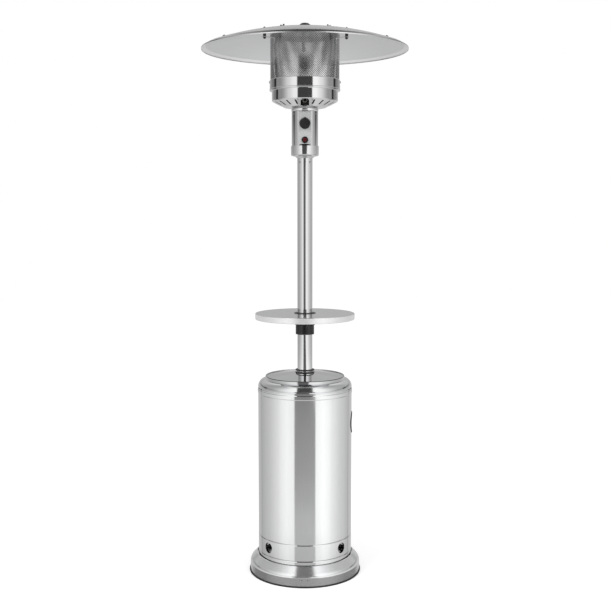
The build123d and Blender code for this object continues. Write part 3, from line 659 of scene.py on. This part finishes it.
def dress_all():
    dress(steel("housing_steel", (0.73, 0.735, 0.735), 0.06, 0.12), "housing_front", "housing_door")
    dress(steel("burner_steel", (0.72, 0.72, 0.72), 0.05, 0.09, spun_grain), "burner_pan", "screen_band")
    dress(steel("post_steel", (0.73, 0.73, 0.735), 0.04, 0.08), "pole", "control_box_back")
    dress(steel("mirror_steel", (0.74, 0.74, 0.74), 0.03, 0.06, spun_grain), "head_collar", "neck_ring")
    dress(steel("screen_lid_steel", (0.60, 0.60, 0.60), 0.14, 0.22, spun_grain), "emitter_top_plate")
    dress(control_panel_steel(), "control_box_front")
    dress(reflector_sheet(), "reflector_panel_front", "reflector_panel_right", "reflector_panel_left",
          "reflector_arms")
    dress(plain_metal("heat_steel", (0.33, 0.31, 0.29), 0.45),
          "burner_head", "burner_mixer", "burner_supply_tube", "thermocouple")
    dress(plain_metal("zinc_steel", (0.55, 0.55, 0.54), 0.32),
          "post_brackets", "bracket_bolts", "pole_foot_flange", "flange_bolts", "head_spigot",
          "door_pivot_brackets", "door_pivot_lugs", "door_pivot_pins", "door_strike", "reflector_studs",
          "reflector_centre_washer", "valve_stem", "pilot_burner")
    dress(plain_metal("dark_fasteners", (0.10, 0.10, 0.10), 0.35),
          "reflector_nuts", "reflector_seam_bolts", "reflector_standoffs")
    dress(plain_metal("bright_fasteners", (0.68, 0.68, 0.68), 0.18),
          "pole_screws", "control_box_screws", "band_screws")
    dress(moulded_plastic("black_plastic", (0.012, 0.012, 0.013), 0.42),
          "door_grip_ring", "table_ring", "table_clamp_bush", "gas_knob", "igniter_bezel",
          "igniter_body", "reflector_wing_nuts", "reflector_centre_cap", "tilt_switch")
    dress(moulded_plastic("collar_black", (0.010, 0.010, 0.010), 0.24),
          "table_sleeve", "table_lock_collar")
    dress(moulded_plastic("edge_trim_black", (0.010, 0.010, 0.010), 0.55), "base_edge_trim")
    dress(moulded_plastic("magnet_black", (0.03, 0.03, 0.03), 0.5), "door_magnet")
    dress(moulded_plastic("button_red", (0.10, 0.008, 0.012), 0.16), "igniter_button")
    dress(moulded_plastic("ceramic_white", (0.75, 0.74, 0.70), 0.25), "spark_electrode")
    dress(plain_metal("fitting_brass", (0.72, 0.53, 0.24), 0.25), "gas_inlet_fitting")
    dress(plain_metal("valve_metal", (0.55, 0.55, 0.54), 0.42), "gas_valve")


# Pieces

def screen_points_and_faces():
    """One sheet with staggered round holes, rolled to a tube. Each hole sits in a diamond that shares
    its four corners with its neighbours, and a plain strip closes the sheet at its foot and its top."""
    step_turn = 2 * math.pi / screen_half_columns
    step_up = (screen_high - screen_low) / (screen_rows + 3)
    points = []
    faces = []
    corners = {}

    def add_point(turn, height):
        waves = math.sin(11 * turn + 0.7) + math.sin(17 * turn + 2.1) + math.sin(26 * turn)
        radius = screen_radius - screen_inset + screen_waves * waves
        points.append((radius * math.sin(turn), -radius * math.cos(turn), height))
        return len(points) - 1

    def corner(column, row):
        column %= screen_half_columns
        if (column, row) not in corners:
            corners[column, row] = add_point(column * step_turn, screen_low + (row + 1) * step_up)
        return corners[column, row]

    def cell(column, row):
        """A diamond with an eight-sided hole. Each quarter of it has three triangles."""
        rim = []
        for step in range(8):
            angle = math.radians(45 * step)
            turn = column * step_turn + hole_radius * math.cos(angle) / screen_radius
            height = screen_low + (row + 1) * step_up + hole_radius * math.sin(angle)
            rim.append(add_point(turn, height))
        outer = [corner(column + 1, row), corner(column, row + 1),
                 corner(column - 1, row), corner(column, row - 1)]
        for quarter in range(4):
            first = outer[quarter]
            second = outer[(quarter + 1) % 4]
            middle = rim[2 * quarter + 1]
            faces.append((first, second, middle))
            faces.append((second, rim[(2 * quarter + 2) % 8], middle))
            faces.append((first, middle, rim[2 * quarter]))

    def end_strip(inner_row, outer_row, height):
        """Plain strip between the jagged edge of the cells and one end of the tube."""
        edge = []
        end = []
        for column in range(screen_half_columns):
            row = outer_row if (column + outer_row) % 2 else inner_row
            edge.append(corner(column, row))
            end.append(add_point(column * step_turn, height))
        low, high = (end, edge) if outer_row < inner_row else (edge, end)
        for index in range(screen_half_columns):
            faces.append((low[index - 1], low[index], high[index], high[index - 1]))

    for row in range(1, screen_rows + 1):
        for column in range(row % 2, screen_half_columns, 2):
            cell(column, row)
    end_strip(1, 0, screen_low)
    end_strip(screen_rows, screen_rows + 1, screen_high)
    return points, faces


def new_piece(name, points, faces, material, body):
    mesh = bpy.data.meshes.new(name)
    mesh.from_pydata(points, [], faces)
    mesh.materials.append(material)
    piece = bpy.data.objects.new(name, mesh)
    scene.collection.objects.link(piece)
    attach(piece, body)
    return piece


def arc_line(centre, radius, start, end, steps):
    """Points of a round stretch, with angles in degrees from the outward direction."""
    points = []
    for step in range(steps + 1):
        angle = math.radians(start + (end - start) * step / steps)
        points.append((centre[0] + radius * math.cos(angle), centre[1] + radius * math.sin(angle)))
    return points


def with_close_ends(line):
    """Add points near both ends of each long stretch, so that it looks straight when shaded smooth."""
    long_stretch = 4
    from_end = 0.5
    held = [line[0]]
    for (radius, height), (next_radius, next_height) in zip(line, line[1:]):
        outward = next_radius - radius
        upward = next_height - height
        length = math.hypot(outward, upward)
        if length > long_stretch:
            for share in (from_end / length, 1 - from_end / length):
                held.append((radius + outward * share, height + upward * share))
        held.append((next_radius, next_height))
    return held


def inner_side(line, wall):
    """The line moved to its left by the wall, with its corners kept but for very sharp ones."""
    sharpest = 0.4
    normals = []
    for (radius, height), (next_radius, next_height) in zip(line, line[1:]):
        normals.append(Vector((height - next_height, next_radius - radius)).normalized())
    moved = []
    for index, (radius, height) in enumerate(line):
        before = normals[max(index - 1, 0)]
        after = normals[min(index, len(normals) - 1)]
        middle = (before + after).normalized()
        shift = middle * wall / max(middle.dot(before), sharpest)
        moved.append((radius + shift.x, height + shift.y))
    return moved


def spun_sheet(name, line, wall, material, body, replaced, is_open=None):
    """Spin an outline of radii and heights, in millimetres, to a sheet that takes a CAD node's place.
    The outline's outer side is on the right of its run. Where is_open says so, faces are left out."""
    line = with_close_ends(line)
    section = line + inner_side(line, wall)[::-1]
    points = []
    for step in range(spin_steps):
        turn = 2 * math.pi * step / spin_steps
        points += [(radius * math.sin(turn) / 1000, -radius * math.cos(turn) / 1000, height / 1000)
                   for radius, height in section]
    faces = []
    count = len(section)
    for step in range(spin_steps):
        here = step * count
        following = (step + 1) % spin_steps * count
        for index in range(count):
            after = (index + 1) % count
            middle = (section[index][1] + section[after][1]) / 2
            if is_open is None or not is_open(step, middle):
                faces.append((here + index, following + index, following + after, here + after))
    piece = new_piece(name, points, faces, material, body)
    piece.data.shade_smooth()
    piece.data.set_sharp_from_angle(angle=math.radians(sharp_angle))
    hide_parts(replaced)
    return piece


def housing_cap_shell():
    """Shoulder and rim, with a spigot inside the front shell that stops short of the door."""
    def is_door_side(step, height):
        turn = min(step, spin_steps - step) * 360 / spin_steps
        return turn > spigot_turn and spigot_low < height < housing_top - 0.1

    foot = housing_top + cap_step
    seat_radius = plate_radius + plate_gap
    line = [(spigot_radius, spigot_low), (spigot_radius, housing_top), (housing_radius, housing_top)]
    line += arc_line((housing_radius - cap_round, foot), cap_round, 0, cap_arc, 16)
    line += [(cap_rim_radius + corner_round, cap_rim_foot), (cap_rim_radius, cap_rim_top),
             (cap_rim_radius - 0.7, cap_rim_top + corner_round),
             (cap_rim_radius - 2.3, cap_rim_top + corner_round),
             (seat_radius, cap_rim_top), (seat_radius, plate_low - corner_round)]
    piece = spun_sheet("cap_shell", line, sheet_wall, cap_steel(), "frame", "housing_cap", is_door_side)


def housing_top_cone():
    """Flat cone that rises to the ring round the pole."""
    material = steel("plate_steel", (0.58, 0.585, 0.59), 0.07, 0.11, spun_grain, 0.000004)
    line = [(plate_radius, plate_low), (cone_top_radius, plate_high), (pole_radius, plate_high)]
    piece = spun_sheet("top_cone", line, thin_wall, material, "frame", "housing_top_plate")


def pole_grommet():
    """A black lip above and below, with a bright groove between them."""
    lip = ring_radius
    groove = ring_radius - 1.5
    line = [(lip - 0.8, plate_high), (lip, plate_high + 1), (lip, plate_high + 3),
            (groove, plate_high + 4), (groove, ring_high - 4),
            (lip, ring_high - 3), (lip, ring_high - 1), (lip - 1.2, ring_high), (pole_radius, ring_high)]
    piece = spun_sheet("grommet", line, thin_wall, grommet_plastic(), "frame", "pole_ring")


def round_table():
    """Flat top with a rounded edge and a straight skirt that turns in at its foot."""
    edge = 2.5
    line = [(table_radius - 6, table_low)]
    line += arc_line((table_radius - edge, table_low + edge), edge, -90, 0, 9)
    line += arc_line((table_radius - edge, table_high - edge), edge, 0, 90, 9)
    line += [(table_hole_radius, table_high)]
    piece = spun_sheet("table_dish", line, sheet_wall, table_steel(), "table", "table_top")


def base_bell():
    """Lip with two short slots in front, round shoulder, slope, crest and deck."""
    def is_slot(step, height):
        return min(step, spin_steps - 1 - step) in slot_steps and slot_low < height < slot_high

    lip_foot = lip_low + 2
    line = [(base_radius, lip_low), (base_radius, lip_foot)]
    for height in (slot_low, slot_high):
        share = (height - lip_foot) / (lip_high - lip_foot)
        line.append((base_radius + (lip_radius - base_radius) * share, height))
    line += arc_line((lip_radius - shoulder_round, lip_high), shoulder_round, 0, shoulder_arc, 10)
    line += [(crest_radius + 1.5, crest_high - 1), (crest_radius - 1, crest_high),
             (deck_radius, deck_high), (1, deck_high)]
    piece = spun_sheet("base_bell", line, sheet_wall, base_steel(), "frame", "base_cover", is_slot)


def perforated_screen():
    points, faces = screen_points_and_faces()
    piece = new_piece("perforated_screen", points, faces, heated_steel(), "frame")
    wall = piece.modifiers.new("wall", "SOLIDIFY")
    wall.thickness = screen_wall
    wall.offset = -1
    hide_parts("emitter_screen")


add_camera()
studio_world()
add_floor()
add_softbox("key_left", (-2.6, -2.6, 3.2), 60)
add_softbox("key_right", (2.6, -2.6, 3.2), 45)
dress_all()
base_bell()
housing_cap_shell()
housing_top_cone()
pole_grommet()
round_table()
perforated_screen()
